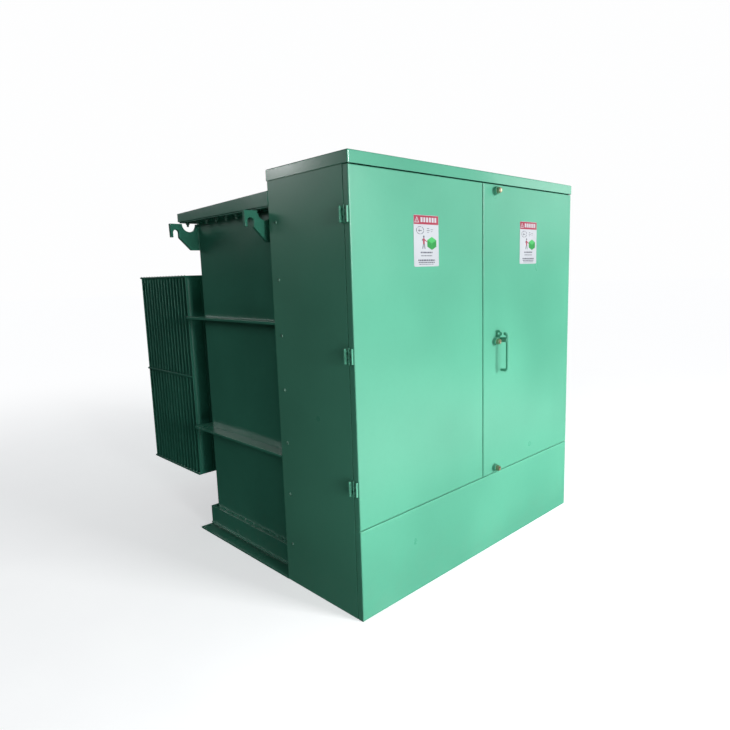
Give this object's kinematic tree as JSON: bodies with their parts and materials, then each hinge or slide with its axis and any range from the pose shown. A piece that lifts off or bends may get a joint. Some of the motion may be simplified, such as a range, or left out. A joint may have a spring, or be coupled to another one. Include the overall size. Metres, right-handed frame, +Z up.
{
  "type": "pad-mounted transformer",
  "caption": "Pad-mounted transformer: lockable two-door terminal cabinet on an oil tank with a sloping bolted cover, lifting hooks and rear banks of plate radiators.",
  "frame": {"origin": "centre of the footprint at ground level, the bottom centre of the bounding box", "axes": "+Z up; the cabinet doors face -Y, the radiators are towards +Y; +X is to the right of someone facing the doors"},
  "size_m": [1.859, 2.079, 1.854],
  "materials": {
    "cabinet_paint": "satin light green powder coat",
    "tank_paint": "satin green paint over welded plate",
    "radiator_paint": "satin green paint",
    "zinc_steel": "zinc plated",
    "brass": "weathered machined brass",
    "label": "matte printed plate",
    "gasket_rubber": "matte",
    "core_steel": "laminated electrical steel",
    "winding": "paper wrapped conductor",
    "epoxy": "moulded epoxy",
    "tinned_aluminium": "satin, tin plated",
    "gauge_black": "semi gloss"
  },
  "bodies": {
    "root": {"tank_shell": "tank_paint", "tank_front_plate": "tank_paint", "tank_stiffener_bars": "tank_paint", "cover_gasket": "gasket_rubber", "tank_cover": "tank_paint", "tank_cover_bolts": "tank_paint", "lifting_hooks": "tank_paint", "base_skirt": "tank_paint", "base_frame": "tank_paint", "ground_flange": "tank_paint", "core": "core_steel", "windings": "winding", "core_clamps": "core_steel", "left_radiator_panels": "radiator_paint", "center_radiator_panels": "radiator_paint", "right_radiator_panels": "radiator_paint", "radiator_headers": "radiator_paint", "front_sill": "cabinet_paint", "hood": "cabinet_paint", "left_side_panel": "cabinet_paint", "right_side_panel": "cabinet_paint", "cabinet_mounting_angles": "cabinet_paint", "side_panel_screws": "cabinet_paint", "compartment_barrier": "cabinet_paint", "hinge_frame_leaves": "cabinet_paint", "hinge_pins": "cabinet_paint", "hv_bushings": "epoxy", "parking_stands": "zinc_steel", "lv_bushings": "epoxy", "lv_spades": "tinned_aluminium", "ground_pads": "zinc_steel", "nameplate": "tinned_aluminium", "dial_gauges": "gauge_black", "fuse_sleeves": "epoxy", "drain_valve_body": "brass", "relief_valve": "brass"},
    "left_door": {"left_door": "cabinet_paint", "left_door_hinge_leaves": "cabinet_paint", "left_door_stiffeners": "cabinet_paint", "left_label_plate": "label"},
    "right_door": {"right_door": "cabinet_paint", "right_door_hinge_leaves": "cabinet_paint", "right_door_stiffeners": "cabinet_paint", "right_label_plate": "label", "bolt_guards": "cabinet_paint", "padlock_staple": "cabinet_paint", "latch_rod_guides": "zinc_steel"},
    "door_handle": {"door_handle": "cabinet_paint", "latch_cam": "zinc_steel"},
    "upper_latch_rod": {"upper_latch_rod": "zinc_steel"},
    "lower_latch_rod": {"lower_latch_rod": "zinc_steel"},
    "bottom_security_bolt": {"bottom_security_bolt": "brass"},
    "middle_security_bolt": {"middle_security_bolt": "brass"},
    "top_security_bolt": {"top_security_bolt": "brass"},
    "switch_handle": {"switch_handle": "zinc_steel"},
    "tap_changer_handle": {"tap_changer_handle": "zinc_steel"},
    "drain_valve_wheel": {"drain_valve_wheel": "brass"},
    "left_fuse_holder": {"left_fuse_holder": "gauge_black"},
    "center_fuse_holder": {"center_fuse_holder": "gauge_black"},
    "right_fuse_holder": {"right_fuse_holder": "gauge_black"}
  },
  "joints": [
    {"name": "left_door_hinge", "type": "hinge", "parent": "root", "child": "left_door", "pos_m": [-0.8435, -0.955, 1.095], "axis": [0, 0, -1], "range_deg": [0, 115]},
    {"name": "right_door_hinge", "type": "hinge", "parent": "root", "child": "right_door", "pos_m": [0.8435, -0.955, 1.095], "axis": [0, 0, 1], "range_deg": [0, 115]},
    {"name": "handle_turn", "type": "hinge", "parent": "right_door", "child": "door_handle", "pos_m": [0.1285, -1, 1.066], "axis": [0, -1, 0], "range_deg": [0, 90]},
    {"name": "upper_latch_slide", "type": "slide", "parent": "right_door", "child": "upper_latch_rod", "axis": [0, 0, -1], "range_m": [0, 0.0396]},
    {"name": "lower_latch_slide", "type": "slide", "parent": "right_door", "child": "lower_latch_rod", "axis": [0, 0, 1], "range_m": [0, 0.0396]},
    {"name": "bottom_bolt_spin", "type": "hinge", "parent": "right_door", "child": "bottom_security_bolt", "pos_m": [0.0965, -0.98, 0.419], "axis": [0, 1, 0], "continuous": true},
    {"name": "middle_bolt_spin", "type": "hinge", "parent": "right_door", "child": "middle_security_bolt", "pos_m": [0.0965, -0.98, 1.06], "axis": [0, 1, 0], "continuous": true},
    {"name": "top_bolt_spin", "type": "hinge", "parent": "right_door", "child": "top_security_bolt", "pos_m": [0.0965, -0.98, 1.773], "axis": [0, 1, 0], "continuous": true},
    {"name": "switch_turn", "type": "hinge", "parent": "root", "child": "switch_handle", "pos_m": [-0.715, -0.483, 1.395], "axis": [0, 1, 0], "range_deg": [0, 90]},
    {"name": "tap_turn", "type": "hinge", "parent": "root", "child": "tap_changer_handle", "pos_m": [-0.6, -0.483, 1.56], "axis": [0, 1, 0], "range_deg": [0, 120]},
    {"name": "drain_wheel_turn", "type": "hinge", "parent": "root", "child": "drain_valve_wheel", "pos_m": [0.69, -0.6, 0.15], "axis": [0, 1, 0], "continuous": true},
    {"name": "left_fuse_slide", "type": "slide", "parent": "root", "child": "left_fuse_holder", "axis": [0, -1, 0], "range_m": [0, 0.25]},
    {"name": "center_fuse_slide", "type": "slide", "parent": "root", "child": "center_fuse_holder", "axis": [0, -1, 0], "range_m": [0, 0.25]},
    {"name": "right_fuse_slide", "type": "slide", "parent": "root", "child": "right_fuse_holder", "axis": [0, -1, 0], "range_m": [0, 0.25]}
  ],
  "couplings": [
    {"joint": "upper_latch_slide", "follows": "handle_turn", "m_per_rad": 0.0252},
    {"joint": "lower_latch_slide", "follows": "handle_turn", "m_per_rad": 0.0252}
  ]
}
